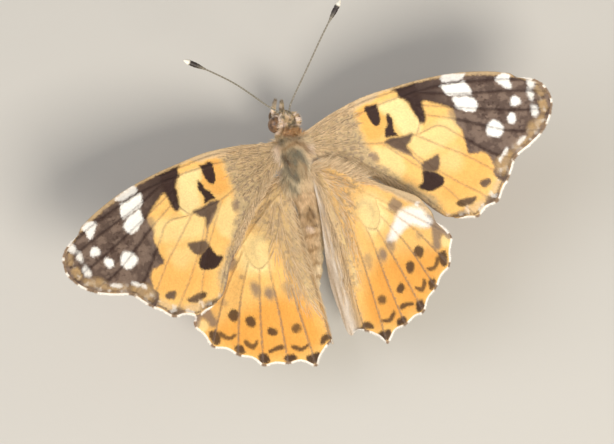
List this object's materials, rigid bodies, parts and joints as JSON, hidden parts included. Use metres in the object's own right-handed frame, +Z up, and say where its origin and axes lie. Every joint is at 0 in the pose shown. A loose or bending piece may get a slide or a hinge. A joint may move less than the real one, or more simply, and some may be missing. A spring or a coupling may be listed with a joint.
{
  "type": "painted lady butterfly",
  "caption": "Life-size still model of a painted lady butterfly, orange and black, standing with its wings part open.",
  "frame": {"origin": "on the floor, under the middle of the whole butterfly's box", "axes": "+X towards the butterfly's right wings, +Y towards its head, +Z up from the floor"},
  "size_m": [0.0612, 0.0412, 0.0207],
  "materials": {
    "body_hair": "short olive and tan hair",
    "eye": "brown facetted compound eye",
    "antenna": "thin ringed shaft, dark club with a pale tip",
    "leg": "scaled tan leg",
    "wing_scales": "dry overlapping scales, orange with black and white marks"
  },
  "bodies": {
    "root": {"head": "body_hair", "thorax": "body_hair", "abdomen": "body_hair", "palp_left": "body_hair", "palp_right": "body_hair", "eye_left": "eye", "eye_right": "eye", "antenna_left": "antenna", "antenna_right": "antenna", "proboscis": "leg", "foreleg_left": "leg", "foreleg_right": "leg", "leg_mid_left": "leg", "leg_mid_right": "leg", "leg_hind_left": "leg", "leg_hind_right": "leg", "forewing_left": "wing_scales", "forewing_right": "wing_scales", "hindwing_left": "wing_scales", "hindwing_right": "wing_scales"}
  },
  "joints": []
}
